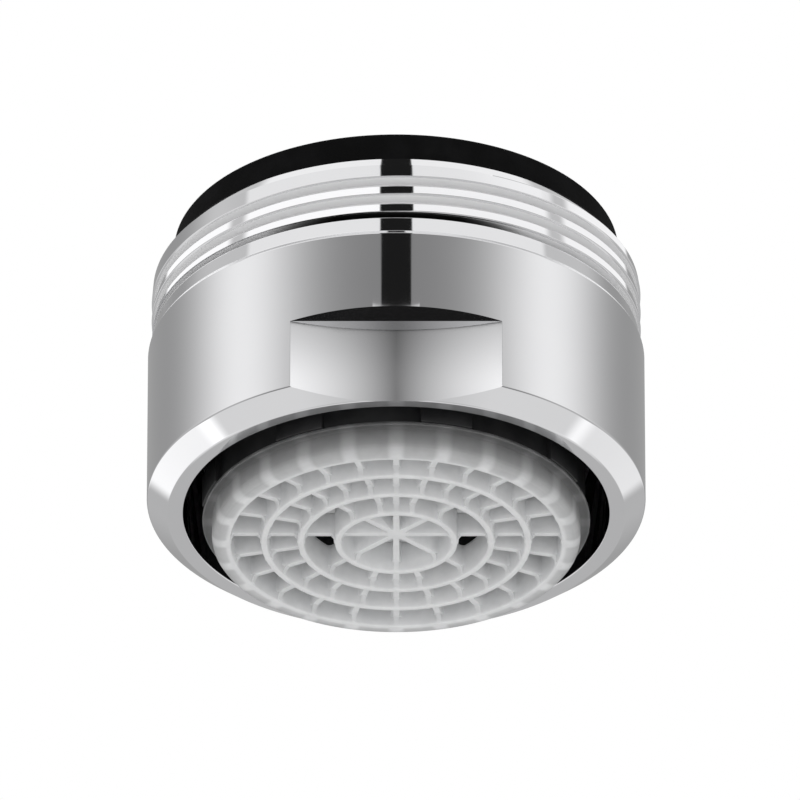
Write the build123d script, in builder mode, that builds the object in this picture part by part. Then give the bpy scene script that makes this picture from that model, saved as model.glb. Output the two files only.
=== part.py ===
from build123d import *
from math import pi
import os

# Screw-in tap aerator with a male M24 x 1 thread, as it hangs in a spout: thread up, outlet down.
# The origin is the middle of the sealing face, on top of the washer. Lengths are millimetres.

# Sealing washer, a flat ring that stays inside the thread's crests
washer_inset = 1.05
washer_thickness = 1.75

# Housing, a turned brass sleeve. The thread is drawn as the plain cylinder over its crests.
thread_d = 23.9
thread_depth = 0.56
thread_length = 3.34
lead_in_depth = 0.55
lead_in_height = 0.85
relief_width = 0.27
collar_height = 1.0
shoulder_step = 0.18
body_height = 7.98
foot_inset = 1.05
foot_height = 0.82
lip_rise = 0.06
seat_wall = 0.64
seat_ledge = 0.4
seat_depth = 1.2

# Two wrench flats, 22 mm apart
flat_wall = 0.65
flat_height = 4.48
flat_ledge_rise = 0.18

# Clearances between the pieces
drop_in_gap = 0.1
washer_gap = 0.15
snug_gap = 0.05
rest_gap = 0.02

# Insert sleeve, the body of the cartridge
air_gap = 1.15
sleeve_wall = 0.75
sleeve_drop = 0.17
inlet_depth = 6.05
shelf_width = 0.3
air_window_count = 4
air_window_width = 5.0
air_window_height = 1.6
air_window_below_shelf = 0.9
pad_count = 8
pad_angle = 15.6
pad_turn = 15.0
pad_proud = 0.3
pad_height = 1.6

# Inlet strainer
strainer_wall = 0.7
strainer_bevel = 0.6
strainer_below_face = 0.15
strainer_hub_d = 2.4
slot_width = 0.6
slot_length = 2.6
slot_row_gap = 0.6
slot_pitch = 1.3

# Flow regulator: a disc with a fluted core and an elastic ring around it
regulator_floor = 0.7
core_d = 4.6
core_height = 2.0
flute_count = 6
flute_width = 0.6
flute_depth = 0.35
control_gap = 0.25
ring_width = 1.6
ring_height = 1.4
window_count = 6
window_width = 0.8
window_reach = 0.95

# Jet plate
jet_plate_thickness = 1.2
jet_width = 0.6
jet_margin = 0.8

# Mixing grids
upper_grid_thickness = 0.9
upper_grid_rim = 1.0
upper_grid_hub_d = 3.2
upper_grid_bar = 0.7
upper_grid_spokes = 8
lower_grid_thickness = 0.8
lower_grid_arm = 0.9
lower_grid_arms = 4

# Outlet grille, a soft moulding with concentric rings and recessed ribs
outlet_drop = 1.4
outlet_flange_proud = 0.22
outlet_flange_thickness = 0.18
outlet_waist = 0.25
outlet_collar_wall = 0.35
outlet_collar_height = 1.85
rim_bevel = 0.3
grille_depth = 1.65
rib_recess = 0.52
ring_wall = 0.3
rib_wall = 0.3
hub_d = 1.0
first_ring_d = 5.66
ring_count = 3
spoke_count = 8
fine_rib_count = 24
side_rib_angle = 15.0

# Radii that follow, from the thread inwards and outwards
thread_r = thread_d / 2
root_r = thread_r - thread_depth
seat_r = root_r - seat_wall
bore_r = seat_r - seat_ledge
flat_half = bore_r + flat_wall
body_r = thread_r + shoulder_step
foot_r = body_r - foot_inset
sleeve_flange_r = seat_r - drop_in_gap
sleeve_r = bore_r - air_gap
sleeve_bore_r = sleeve_r - sleeve_wall
inlet_bore_r = sleeve_bore_r + shelf_width
strainer_r = inlet_bore_r - drop_in_gap
strainer_bore_r = strainer_r - strainer_wall
washer_r = thread_r - washer_inset
washer_inner_r = strainer_r + washer_gap
regulator_r = strainer_bore_r - drop_in_gap
core_r = core_d / 2
inner_r = sleeve_bore_r - snug_gap
outlet_bore_r = inner_r - outlet_collar_wall
lower_grid_r = outlet_bore_r - snug_gap
first_ring_r = first_ring_d / 2
ring_pitch = (outlet_bore_r + ring_wall / 2 - first_ring_r) / ring_count
ring_radii = [first_ring_r + ring_pitch * i for i in range(ring_count)]

# Heights that follow, from the sealing face down
top_z = -washer_thickness
seat_z = top_z - seat_depth
thread_end_z = top_z - thread_length
collar_top_z = thread_end_z - relief_width
body_top_z = collar_top_z - collar_height
body_low_z = body_top_z - body_height
lip_z = body_low_z - foot_height
flat_top_z = lip_z + flat_height
shelf_z = top_z - inlet_depth
plate_top_z = shelf_z + jet_plate_thickness
regulator_top_z = plate_top_z + regulator_floor
sleeve_end_z = lip_z - sleeve_drop
outlet_low_z = sleeve_end_z - outlet_drop
flange_low_z = sleeve_end_z - outlet_flange_thickness
grille_top_z = outlet_low_z + grille_depth
upper_grid_z = sleeve_end_z + outlet_collar_height
strainer_top_z = -strainer_below_face

os.makedirs("parts", exist_ok=True)

# Housing
with BuildPart() as housing:
    with BuildSketch(Plane.XZ):
        with BuildLine():
            Polyline(
                (seat_r, top_z),
                (thread_r - lead_in_depth, top_z),
                (thread_r, top_z - lead_in_height),
                (thread_r, thread_end_z),
                (root_r, thread_end_z),
                (root_r, collar_top_z),
                (thread_r, collar_top_z),
                (thread_r, body_top_z + shoulder_step),
                (body_r, body_top_z),
                (body_r, body_low_z),
                (foot_r, lip_z),
                (bore_r, lip_z + lip_rise),
                (bore_r, seat_z),
                (seat_r, seat_z),
                close=True,
            )
        make_face()
    revolve(axis=Axis.Z)
    # Each flat runs out through the foot and ends in a sloping ledge at the top
    ledge_slope = flat_ledge_rise / (body_r - flat_half)
    beyond_r = body_r + foot_inset
    with BuildSketch(Plane.YZ) as flat_cut:
        with BuildLine():
            Polyline(
                (flat_half, flat_top_z),
                (beyond_r, flat_top_z + ledge_slope * (beyond_r - flat_half)),
                (beyond_r, lip_z - foot_height),
                (flat_half, lip_z - foot_height),
                close=True,
            )
        make_face()
        mirror(about=Plane.YZ)
    extrude(amount=body_r, both=True, mode=Mode.SUBTRACT)
housing.part.label = "housing"
export_step(housing.part, "parts/housing.step")

# Sealing washer, lying on the housing's rim and the sleeve's flange
with BuildPart() as sealing_washer:
    with BuildSketch(Plane.XY.offset(top_z)):
        Circle(washer_r)
        Circle(washer_inner_r, mode=Mode.SUBTRACT)
    extrude(amount=washer_thickness)
sealing_washer.part.label = "sealing_washer"
export_step(sealing_washer.part, "parts/sealing_washer.step")

# Insert sleeve: its flange hangs on the housing's seat, and air comes up around it to the windows
with BuildPart() as insert_sleeve:
    with BuildSketch(Plane.XZ):
        with BuildLine():
            Polyline(
                (inlet_bore_r, top_z),
                (sleeve_flange_r, top_z),
                (sleeve_flange_r, seat_z),
                (sleeve_r, seat_z),
                (sleeve_r, sleeve_end_z),
                (sleeve_bore_r, sleeve_end_z),
                (sleeve_bore_r, shelf_z),
                (inlet_bore_r, shelf_z),
                close=True,
            )
        make_face()
    revolve(axis=Axis.Z)
    window_z = shelf_z - air_window_below_shelf - air_window_height
    with BuildSketch(Plane.XY.offset(window_z)):
        with PolarLocations(sleeve_r / 2, air_window_count, start_angle=pad_turn):
            Rectangle(sleeve_r + sleeve_wall, air_window_width)
    extrude(amount=air_window_height, mode=Mode.SUBTRACT)
    # Pads around the foot, the castellations seen in the outlet's gap
    with BuildSketch(Plane.XY.offset(sleeve_end_z)):
        with BuildLine():
            pad_from = -pad_angle / 2
            pad_inside = CenterArc((0, 0), sleeve_r - sleeve_wall / 2, pad_from, pad_angle)
            pad_outside = CenterArc((0, 0), sleeve_r + pad_proud, pad_from, pad_angle)
            Line(pad_inside @ 0, pad_outside @ 0)
            Line(pad_inside @ 1, pad_outside @ 1)
        pad = make_face(mode=Mode.PRIVATE)
        with PolarLocations(0, pad_count, start_angle=pad_turn):
            add(pad)
    extrude(amount=pad_height)
insert_sleeve.part.label = "insert_sleeve"
export_step(insert_sleeve.part, "parts/insert_sleeve.step")

# Inlet strainer: a bevelled cap with a slotted top, on a skirt that stands on the jet plate
with BuildPart() as inlet_strainer:
    with BuildSketch(Plane.XZ):
        with BuildLine():
            Polyline(
                (0, strainer_top_z),
                (strainer_r - strainer_bevel, strainer_top_z),
                (strainer_r, strainer_top_z - strainer_bevel),
                (strainer_r, plate_top_z),
                (strainer_bore_r, plate_top_z),
                (strainer_bore_r, strainer_top_z - strainer_wall),
                (0, strainer_top_z - strainer_wall),
                close=True,
            )
        make_face()
    revolve(axis=Axis.Z)
    # Rows of radial slots, as many as fit between the bevel and the hub
    slots_from_r = strainer_r - strainer_bevel - slot_row_gap / 2
    slot_row_pitch = slot_length + slot_row_gap
    slot_rows = int((slots_from_r - strainer_hub_d / 2 + slot_row_gap) / slot_row_pitch)
    with BuildSketch(Plane.XY.offset(strainer_top_z - strainer_wall)):
        for row in range(slot_rows):
            slot_end_r = slots_from_r - row * slot_row_pitch
            slot_count = int(2 * pi * (slot_end_r - slot_length) / slot_pitch)
            with PolarLocations(slot_end_r - slot_length / 2, slot_count):
                Rectangle(slot_length, slot_width)
    extrude(amount=strainer_wall, mode=Mode.SUBTRACT)
inlet_strainer.part.label = "inlet_strainer"
export_step(inlet_strainer.part, "parts/inlet_strainer.step")

# Regulator body: a disc on the jet plate, with a fluted core and windows at the core's foot
with BuildPart() as regulator_body:
    with BuildSketch(Plane.XY.offset(plate_top_z)):
        Circle(regulator_r)
    extrude(amount=regulator_floor)
    with BuildSketch(Plane.XY.offset(regulator_top_z)):
        Circle(core_r)
        with PolarLocations(core_r, flute_count):
            Rectangle(2 * flute_depth, flute_width, mode=Mode.SUBTRACT)
    extrude(amount=core_height)
    with BuildSketch(Plane.XY.offset(plate_top_z)):
        with PolarLocations(core_r + window_reach / 2, window_count):
            Rectangle(window_reach, window_width)
    extrude(amount=regulator_floor, mode=Mode.SUBTRACT)
regulator_body.part.label = "regulator_body"
export_step(regulator_body.part, "parts/regulator_body.step")

# Regulator ring, lying on the disc around the core
with BuildPart() as regulator_ring:
    with BuildSketch(Plane.XZ):
        ring_mean_r = core_r + control_gap + ring_width / 2
        with Locations((ring_mean_r, regulator_top_z + rest_gap + ring_height / 2)):
            Rectangle(ring_width, ring_height)
    revolve(axis=Axis.Z)
regulator_ring.part.label = "regulator_ring"
export_step(regulator_ring.part, "parts/regulator_ring.step")

# Jet plate on the sleeve's shelf, with a radial jet slot under each of the regulator's windows
with BuildPart() as jet_plate:
    with BuildSketch(Plane.XY.offset(shelf_z)):
        Circle(inlet_bore_r - snug_gap)
    extrude(amount=jet_plate_thickness)
    with BuildSketch(Plane.XY.offset(shelf_z)):
        jet_length = sleeve_bore_r - jet_margin - core_r
        with PolarLocations(core_r + jet_length / 2, window_count):
            Rectangle(jet_length, jet_width)
    extrude(amount=jet_plate_thickness, mode=Mode.SUBTRACT)
jet_plate.part.label = "jet_plate"
export_step(jet_plate.part, "parts/jet_plate.step")

# Upper mixing grid, lying on the outlet's collar
with BuildPart() as mixing_grid_upper:
    with BuildSketch(Plane.XY.offset(upper_grid_z)):
        Circle(inner_r)
        Circle(inner_r - upper_grid_rim, mode=Mode.SUBTRACT)
        Circle(upper_grid_hub_d / 2)
        with PolarLocations((inner_r - upper_grid_rim / 2) / 2, upper_grid_spokes):
            Rectangle(inner_r - upper_grid_rim / 2, upper_grid_bar)
    extrude(amount=upper_grid_thickness)
mixing_grid_upper.part.label = "mixing_grid_upper"
export_step(mixing_grid_upper.part, "parts/mixing_grid_upper.step")

# Lower mixing grid: a disc over the grille's middle, on arms that centre it in the outlet's collar
with BuildPart() as mixing_grid_lower:
    with BuildSketch(Plane.XY.offset(grille_top_z)):
        Circle(first_ring_r)
        with PolarLocations(lower_grid_r / 2, lower_grid_arms):
            Rectangle(lower_grid_r, lower_grid_arm)
    extrude(amount=lower_grid_thickness)
mixing_grid_lower.part.label = "mixing_grid_lower"
export_step(mixing_grid_lower.part, "parts/mixing_grid_lower.step")

# Outlet grille: a drum with a bevelled rim, whose flange closes the sleeve's end
with BuildPart() as outlet_grille:
    drum_r = sleeve_r - outlet_waist
    with BuildSketch(Plane.XZ):
        with BuildLine():
            Polyline(
                (outlet_bore_r, upper_grid_z),
                (inner_r, upper_grid_z),
                (inner_r, sleeve_end_z),
                (sleeve_r + outlet_flange_proud, sleeve_end_z),
                (sleeve_r + outlet_flange_proud, flange_low_z),
                (drum_r, flange_low_z),
                (drum_r, outlet_low_z + rim_bevel),
                (drum_r - rim_bevel, outlet_low_z),
                (outlet_bore_r, outlet_low_z),
                close=True,
            )
        make_face()
    revolve(axis=Axis.Z)
    # Rings reach down to the rim's face
    with BuildSketch(Plane.XY.offset(outlet_low_z)):
        for ring_r in reversed(ring_radii):
            Circle(ring_r + ring_wall / 2)
            Circle(ring_r - ring_wall / 2, mode=Mode.SUBTRACT)
    extrude(amount=grille_depth)
    # Ribs stay a little above it: spokes all the way, fine ribs in the outer bands, and two pairs
    # beside the front and back spokes in the first band
    with BuildSketch(Plane.XY.offset(outlet_low_z + rib_recess)):
        Circle(hub_d / 2)
        spoke_length = outlet_bore_r + ring_wall / 2
        with PolarLocations(spoke_length / 2, spoke_count):
            Rectangle(spoke_length, rib_wall)
        for ring_r in ring_radii[1:]:
            with PolarLocations(ring_r + ring_pitch / 2, fine_rib_count):
                Rectangle(ring_pitch, rib_wall)
        for middle in (90, -90):
            with PolarLocations(
                first_ring_r + ring_pitch / 2,
                2,
                start_angle=middle - side_rib_angle,
                angular_range=2 * side_rib_angle,
                endpoint=True,
            ):
                Rectangle(ring_pitch, rib_wall)
    extrude(amount=grille_depth - rib_recess)
outlet_grille.part.label = "outlet_grille"
export_step(outlet_grille.part, "parts/outlet_grille.step")
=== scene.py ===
"""Looks of a screw-in tap aerator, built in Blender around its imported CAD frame.

The frame gives the solids in metres, with the origin in the middle of the sealing face and +Z
towards the spout. The sizes below are millimetres. Each sub-assembly is a class that models its
pieces and dresses them, and the studio class sets the light, the floor and the camera.
"""

import logging
import math
from abc import ABC, abstractmethod
from dataclasses import dataclass
from enum import Enum
from typing import Any, Optional, Sequence, Union

import bmesh
import bpy
from mathutils import Matrix


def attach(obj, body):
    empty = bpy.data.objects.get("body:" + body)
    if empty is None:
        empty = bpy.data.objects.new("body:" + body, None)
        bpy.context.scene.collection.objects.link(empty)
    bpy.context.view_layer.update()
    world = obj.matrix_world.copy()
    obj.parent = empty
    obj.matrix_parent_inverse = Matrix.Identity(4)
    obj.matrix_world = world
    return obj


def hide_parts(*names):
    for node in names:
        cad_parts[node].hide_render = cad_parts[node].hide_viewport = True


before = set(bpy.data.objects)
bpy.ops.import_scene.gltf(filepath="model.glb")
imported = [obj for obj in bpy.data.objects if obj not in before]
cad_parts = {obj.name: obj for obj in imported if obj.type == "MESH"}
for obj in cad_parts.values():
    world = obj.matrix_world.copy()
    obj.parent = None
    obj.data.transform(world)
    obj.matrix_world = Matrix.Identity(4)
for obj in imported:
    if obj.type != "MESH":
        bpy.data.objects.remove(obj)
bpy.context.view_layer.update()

log = logging.getLogger("tap_aerator")

MM = 0.001
FULL_TURN = 2.0 * math.pi
DEGREES = 180.0 / math.pi
ORIGIN = (0.0, 0.0, 0.0)
UP = (0.0, 0.0, 1.0)
TURN_STEPS = 192
ROUND_STEPS = 4
CARD_STEPS = 16
HOLD = 0.02
HOLD_FROM = 0.12
MERGE_DISTANCE = 1e-7
LEVEL_DISTANCE = 1e-4
PLANE_DISTANCE = 1e-3
PLANE_FACING = 0.999
SHARP_ANGLE = math.radians(30.0)
SOFT_ANGLE = math.radians(50.0)
FINE_DETAIL = 2.0
NOISE_ROUGHNESS = 0.55
MIX_A, MIX_B, MIX_RESULT = 6, 7, 2
EVEN_REACH = (1.0, 1.0, 1.0)

Number = Union["Value", float]
Colour = tuple[float, float, float]
Ramp = tuple[float, float]
Band = tuple[float, float, float]
Socket = bpy.types.NodeSocket
Mesh = bmesh.types.BMesh
Piece = bpy.types.Object
Material = bpy.types.Material


class Slot(Enum):
    """The record's material slots."""

    CHROME = "chrome"
    WASHER_RUBBER = "washer_rubber"
    BLACK_PLASTIC = "black_plastic"
    WHITE_PLASTIC = "white_plastic"
    REGULATOR_RUBBER = "regulator_rubber"
    GRILLE_SILICONE = "grille_silicone"


class Cut(Enum):
    """How one solid acts on another."""

    TAKE_AWAY = "DIFFERENCE"
    JOIN = "UNION"


class Rounded(Enum):
    """What a rounding acts on."""

    EDGES = "EDGES"
    CORNERS = "VERTICES"


class Value:
    """A number socket of a shader that Python's operators act on."""

    def __init__(self, shader: "Shader", socket: Socket) -> None:
        """Wraps an output socket of the shader."""
        self.shader = shader
        self.socket = socket

    def _math(self, operation: str, *operands: Number) -> "Value":
        """Adds a Math node.

        Args:
            operation: The node's operation.
            operands: The values or links of its inputs.

        Returns:
            The node's result.
        """
        settings = {"operation": operation}
        made = self.shader.node("ShaderNodeMath", settings, dict(enumerate(operands)))
        return Value(self.shader, made.outputs[0])

    def __add__(self, other: Number) -> "Value":
        """Sum."""
        return self._math("ADD", self, other)

    __radd__ = __add__

    def __sub__(self, other: Number) -> "Value":
        """Difference."""
        return self._math("SUBTRACT", self, other)

    def __rsub__(self, other: Number) -> "Value":
        """Difference, from the other side."""
        return self._math("SUBTRACT", other, self)

    def __mul__(self, other: Number) -> "Value":
        """Product."""
        return self._math("MULTIPLY", self, other)

    __rmul__ = __mul__

    def __truediv__(self, other: Number) -> "Value":
        """Quotient."""
        return self._math("DIVIDE", self, other)

    def __rpow__(self, base: float) -> "Value":
        """A number raised to this value."""
        return self._math("POWER", base, self)

    def __neg__(self) -> "Value":
        """The value with its sign changed."""
        return self._math("MULTIPLY", self, -1.0)

    def __abs__(self) -> "Value":
        """The value without its sign."""
        return self._math("ABSOLUTE", self)

    def wave(self) -> "Value":
        """Cosine of an angle in radians."""
        return self._math("COSINE", self)

    def arc_sine(self) -> "Value":
        """Angle whose sine this is."""
        return self._math("ARCSINE", self)

    def angle_to(self, other: Number) -> "Value":
        """Angle of the point whose height is this value and whose reach is the other."""
        return self._math("ARCTAN2", self, other)

    def root(self) -> "Value":
        """Square root."""
        return self._math("SQRT", self)

    def rise(self, low: float, high: float) -> "Value":
        """Smooth step.

        Args:
            low: Where the step begins.
            high: Where it is complete.

        Returns:
            0 below low, 1 above high and a soft ramp between them.
        """
        made = self.shader.node(
            "ShaderNodeMapRange",
            {"interpolation_type": "SMOOTHSTEP"},
            {"Value": self, "From Min": low, "From Max": high, "To Min": 0.0, "To Max": 1.0},
        )
        return Value(self.shader, made.outputs["Result"])

    def within(self, low: float, high: float, soft: float) -> "Value":
        """Mask of a range.

        Args:
            low: Middle of the rising edge.
            high: Middle of the falling edge.
            soft: Half the width of each edge.

        Returns:
            1 inside the range and 0 outside.
        """
        return self.rise(low - soft, low + soft) * (1.0 - self.rise(high - soft, high + soft))

    def bump(self, middle: float, spread: float) -> "Value":
        """Bell curve.

        Args:
            middle: Where the curve is highest.
            spread: Distance from the middle to its steepest place.

        Returns:
            1 at the middle, falling to 0 on both sides.
        """
        away = (self - middle) / spread
        return math.e ** (away * away * -0.5)

    def towards(self, other: Number, mask: Number) -> "Value":
        """This value where the mask is 0, the other where it is 1."""
        return self + (other - self) * mask


class Shader:
    """A node tree that is written as Python expressions."""

    def __init__(self, tree: bpy.types.NodeTree) -> None:
        """Starts an empty tree."""
        self.tree = tree
        self.tree.nodes.clear()

    def node(
        self,
        kind: str,
        settings: Optional[dict[str, Any]] = None,
        inputs: Optional[dict[Union[str, int], Any]] = None,
    ) -> bpy.types.Node:
        """Adds a node.

        Args:
            kind: Blender's name of the node's type.
            settings: The node's own properties.
            inputs: Values or links of its sockets, by name or number.

        Returns:
            The new node.
        """
        made = self.tree.nodes.new(kind)
        for name, setting in (settings or {}).items():
            setattr(made, name, setting)
        for name, given in (inputs or {}).items():
            if isinstance(given, Value):
                given = given.socket
            if isinstance(given, Socket):
                self.tree.links.new(given, made.inputs[name])
            else:
                made.inputs[name].default_value = given
        return made

    def value(self, node: bpy.types.Node, output: Union[str, int] = 0) -> Value:
        """A node's output as a value."""
        return Value(self, node.outputs[output])

    def coordinates(self, source: str) -> tuple[Socket, Value, Value, Value]:
        """Coordinates of the shaded point.

        Args:
            source: Which output of the Texture Coordinate node to read.

        Returns:
            The vector's socket and its three parts.
        """
        where = self.node("ShaderNodeTexCoord").outputs[source]
        parts = self.node("ShaderNodeSeparateXYZ", None, {0: where})
        return where, self.value(parts, "X"), self.value(parts, "Y"), self.value(parts, "Z")

    def noise(self, where: Socket, scale: float, detail: float = 3.0) -> Value:
        """Noise over a surface.

        Args:
            where: Coordinates that the noise follows.
            scale: Number of grains per metre.
            detail: How many finer layers it has.

        Returns:
            The noise, around 0.5.
        """
        made = self.node(
            "ShaderNodeTexNoise",
            {"noise_dimensions": "3D"},
            {"Vector": where, "Scale": scale, "Detail": detail, "Roughness": NOISE_ROUGHNESS},
        )
        return self.value(made, 0)

    def stretched(self, where: Socket, scale: Sequence[float]) -> Socket:
        """Coordinates scaled along each axis."""
        return self.node("ShaderNodeMapping", None, {"Vector": where, "Scale": scale}).outputs[0]

    def tint(self, dark: Union[Colour, Socket], light: Colour, mask: Value) -> Socket:
        """Colour between two tints.

        Args:
            dark: Colour where the mask is 0, or the socket that gives it.
            light: Colour where the mask is 1.
            mask: Which of the two shows.

        Returns:
            The mixed colour's socket.
        """
        made = self.node(
            "ShaderNodeMix",
            {"data_type": "RGBA", "clamp_factor": True},
            {
                "Factor": mask,
                MIX_A: dark if isinstance(dark, Socket) else (*dark, 1.0),
                MIX_B: (*light, 1.0),
            },
        )
        return made.outputs[MIX_RESULT]

    def relief(self, height: Value, strength: float, distance: float) -> Socket:
        """Bump normals from a height.

        Args:
            height: Height over the surface, 0 to 1.
            strength: How much of the bump shows.
            distance: Height in metres that 1 stands for.

        Returns:
            The normal's socket.
        """
        made = self.node(
            "ShaderNodeBump", None, {"Height": height, "Strength": strength, "Distance": distance}
        )
        return made.outputs[0]

    def surface(self, inputs: dict[Union[str, int], Any]) -> None:
        """Ends a material with a Principled shader that has these sockets."""
        principled = self.node("ShaderNodeBsdfPrincipled", None, inputs)
        self.node("ShaderNodeOutputMaterial", None, {"Surface": principled.outputs[0]})


class Finish(ABC):
    """A look that makes its own material."""

    name: str

    def make(self) -> Material:
        """Makes the material.

        Returns:
            The new material, with the look's nodes.
        """
        material = bpy.data.materials.new(self.name)
        material.use_nodes = True
        self.draw(Shader(material.node_tree))
        return material

    @abstractmethod
    def draw(self, shader: Shader) -> None:
        """Writes the look's nodes."""


@dataclass(frozen=True)
class ChromeFinish(Finish):
    """Polished chrome plating with faint turning lines and haze, satin thread grooves, and painted
    shade in the relief below the thread at the front and back.
    """

    name: str = "polished_chrome"
    pale: Colour = (0.88, 0.88, 0.89)
    deep: Colour = (0.84, 0.84, 0.855)
    roughness: float = 0.035
    haze: float = 0.03
    haze_ramp: Ramp = (0.45, 0.8)
    groove_colour: Colour = (0.80, 0.80, 0.805)
    # Colour of the painted shade in the relief below the thread.
    painted_shade_colour: Colour = (0.012, 0.012, 0.012)
    groove_roughness: float = 0.5
    groove_bare: float = 0.85
    groove_below: float = 11.865
    groove_top_z: float = -2.6
    groove_soft: float = 0.02
    thread_end_z: float = -5.09
    relief_z: float = -5.385
    shade_soft: float = 0.05
    shade_ramp: Ramp = (0.82, 0.97)
    cloud_scale: float = 260.0
    line_scale: Band = (120.0, 120.0, 9000.0)
    line_depth: float = 1.2e-7
    line_strength: float = 0.3

    def draw(self, shader: Shader) -> None:
        """Writes the look's nodes.

        Args:
            shader: The material's shader.
        """
        where, x, y, z = shader.coordinates("Object")
        cloud = shader.noise(where, self.cloud_scale)
        lines = shader.noise(shader.stretched(where, self.line_scale), 1.0, FINE_DETAIL)
        radius = (x * x + y * y).root() / MM
        height = z / MM
        soft = self.groove_soft
        sunk = 1.0 - radius.rise(self.groove_below - soft, self.groove_below + soft)
        groove = sunk * height.within(self.relief_z, self.groove_top_z, soft)
        # Painted shade: the relief below the thread's end darkens towards the front and the back.
        above = height.rise(self.thread_end_z, self.thread_end_z + self.shade_soft)
        shade = groove * (1.0 - above)
        shade = shade * (abs(y) / (radius * MM)).rise(*self.shade_ramp)
        plated = shader.tint(self.deep, self.pale, cloud)
        grooved = shader.tint(plated, self.groove_colour, groove)
        polish = self.roughness + self.haze * cloud.rise(*self.haze_ramp)
        shader.surface({
            "Base Color": shader.tint(grooved, self.painted_shade_colour, shade),
            "Metallic": 1.0 - self.groove_bare * groove,
            "Roughness": polish.towards(self.groove_roughness, groove),
            "Normal": shader.relief(lines, self.line_strength, self.line_depth),
        })


@dataclass(frozen=True)
class RubberFinish(Finish):
    """Matt rubber with a fine grain and paler dust in places."""

    name: str
    deep: Colour
    dusty: Colour
    roughness: float = 0.72
    gloss: float = 0.3
    dust_ramp: Ramp = (0.4, 0.85)
    cloud_scale: float = 420.0
    grain_scale: float = 5200.0
    grain_depth: float = 2.5e-5
    grain_strength: float = 0.5
    grain_spread: float = 0.12

    def draw(self, shader: Shader) -> None:
        """Writes the look's nodes.

        Args:
            shader: The material's shader.
        """
        where = shader.coordinates("Object")[0]
        grain = shader.noise(where, self.grain_scale, FINE_DETAIL)
        cloud = shader.noise(where, self.cloud_scale)
        shader.surface({
            "Base Color": shader.tint(self.deep, self.dusty, cloud.rise(*self.dust_ramp)),
            "Roughness": self.roughness + self.grain_spread * (grain - 0.5),
            "Specular IOR Level": self.gloss,
            "Normal": shader.relief(grain, self.grain_strength, self.grain_depth),
        })


@dataclass(frozen=True)
class PlasticFinish(Finish):
    """Moulded plastic with a faint flow pattern and a satin skin."""

    name: str
    deep: Colour
    pale: Colour
    roughness: float
    subsurface: float = 0.0
    light_reach: float = 0.4
    flow_scale: float = 650.0
    flow_ramp: Ramp = (0.25, 0.75)
    skin_scale: float = 3800.0
    skin_depth: float = 1.0e-5
    skin_strength: float = 0.35
    skin_spread: float = 0.15

    def draw(self, shader: Shader) -> None:
        """Writes the look's nodes.

        Args:
            shader: The material's shader.
        """
        where = shader.coordinates("Object")[0]
        flow = shader.noise(where, self.flow_scale)
        skin = shader.noise(where, self.skin_scale, FINE_DETAIL)
        shader.surface({
            "Base Color": shader.tint(self.deep, self.pale, flow.rise(*self.flow_ramp)),
            "Roughness": self.roughness + self.skin_spread * (skin - 0.5),
            "Subsurface Weight": self.subsurface,
            "Subsurface Radius": EVEN_REACH,
            "Subsurface Scale": self.light_reach * MM,
            "Normal": shader.relief(skin, self.skin_strength, self.skin_depth),
        })


@dataclass(frozen=True)
class SiliconeFinish(Finish):
    """Translucent silicone, with painted light where ribs meet the drum's wall and painted shade
    that deepens up the drum's wall to its flange.
    """

    name: str = "frosted_silicone"
    deep: Colour = (0.74, 0.745, 0.75)
    pale: Colour = (0.88, 0.885, 0.89)
    shaded: Colour = (0.01, 0.01, 0.01)
    roughness: float = 0.5
    subsurface: float = 0.75
    light_reach: float = 0.6
    cloud_scale: float = 900.0
    cloud_ramp: Ramp = (0.3, 0.7)
    cloud_least: float = 0.3
    cloud_share: float = 0.6
    skin_scale: float = 4200.0
    skin_depth: float = 1.0e-5
    skin_strength: float = 0.3
    skin_spread: float = 0.2
    # Painted light where the ribs meet the drum's wall, and painted shade that deepens from the
    # rim up the wall to the flange.
    rib_light_count: int = 24
    rib_light_ramp: Ramp = (0.2, 1.0)
    rib_light_gain: float = 0.3
    lit_share: float = 0.82
    rim: float = 8.25
    rim_soft: float = 0.1
    rim_z: float = -16.73
    wall_slope: float = 0.9
    flange: float = 9.0
    flange_soft: float = 0.3
    flange_drop: float = 0.4
    half_depth: float = 0.94

    def draw(self, shader: Shader) -> None:
        """Writes the look's nodes.

        Args:
            shader: The material's shader.
        """
        where, x, y, z = shader.coordinates("Object")
        cloud = shader.noise(where, self.cloud_scale).rise(*self.cloud_ramp)
        skin = shader.noise(where, self.skin_scale, FINE_DETAIL)
        # Painted light: brighter bands at each rib's angle round the drum.
        rib_light = (y.angle_to(x) * self.rib_light_count).wave().rise(*self.rib_light_ramp)
        radius = (x * x + y * y).root() / MM
        # Painted shade: the drum's wall darkens from the rim upwards and is darkest at the flange,
        # towards the near-black shaded colour.
        depth = z / MM - self.rim_z + self.wall_slope * (radius - self.rim)
        depth = depth + self.flange_drop * radius.rise(self.flange, self.flange + self.flange_soft)
        lit = (self.lit_share + self.rib_light_gain * rib_light) * 2.0 ** (-depth / self.half_depth)
        outside = radius.rise(self.rim - self.rim_soft, self.rim + self.rim_soft)
        frosted = shader.tint(self.deep, self.pale, cloud * self.cloud_share + self.cloud_least)
        shader.surface({
            "Base Color": shader.tint(frosted, self.shaded, (1.0 - lit) * outside),
            "Roughness": self.roughness + self.skin_spread * (skin - 0.5),
            "Subsurface Weight": self.subsurface,
            "Subsurface Radius": EVEN_REACH,
            "Subsurface Scale": self.light_reach * MM,
            "Normal": shader.relief(skin, self.skin_strength, self.skin_depth),
        })


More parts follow.
